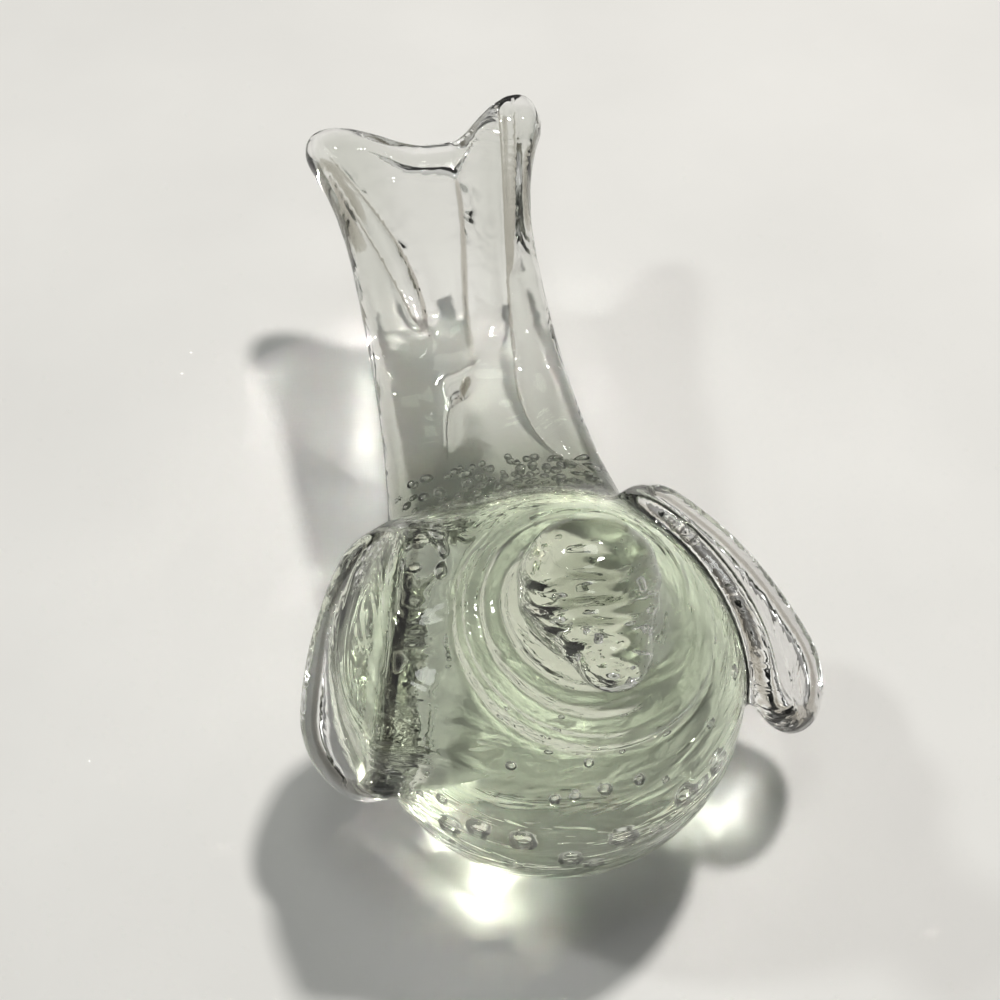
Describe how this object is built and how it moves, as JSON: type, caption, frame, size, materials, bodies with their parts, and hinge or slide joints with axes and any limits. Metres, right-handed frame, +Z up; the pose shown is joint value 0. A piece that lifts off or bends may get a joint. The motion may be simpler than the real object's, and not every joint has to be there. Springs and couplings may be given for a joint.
{
  "type": "glass bird figurine",
  "caption": "Round-bodied glass bird paperweight with trapped air bubbles, a small head on a flared neck, drooping wings and a long forked tail.",
  "frame": {"origin": "centre of the ground flat under the body, where the bird stands", "axes": "+Z up, -Y the way the bird faces, +Y towards the tail, +X the bird's left wing"},
  "size_m": [0.0835, 0.1549, 0.077],
  "materials": {
    "pale green glass": "fire-polished",
    "clear glass": "fire-polished"
  },
  "bodies": {
    "root": {"core_gather": "pale green glass", "outer_gather": "clear glass", "neck_collar": "pale green glass", "head": "pale green glass", "tail": "clear glass", "wing_left": "clear glass", "wing_right": "clear glass"}
  },
  "joints": []
}
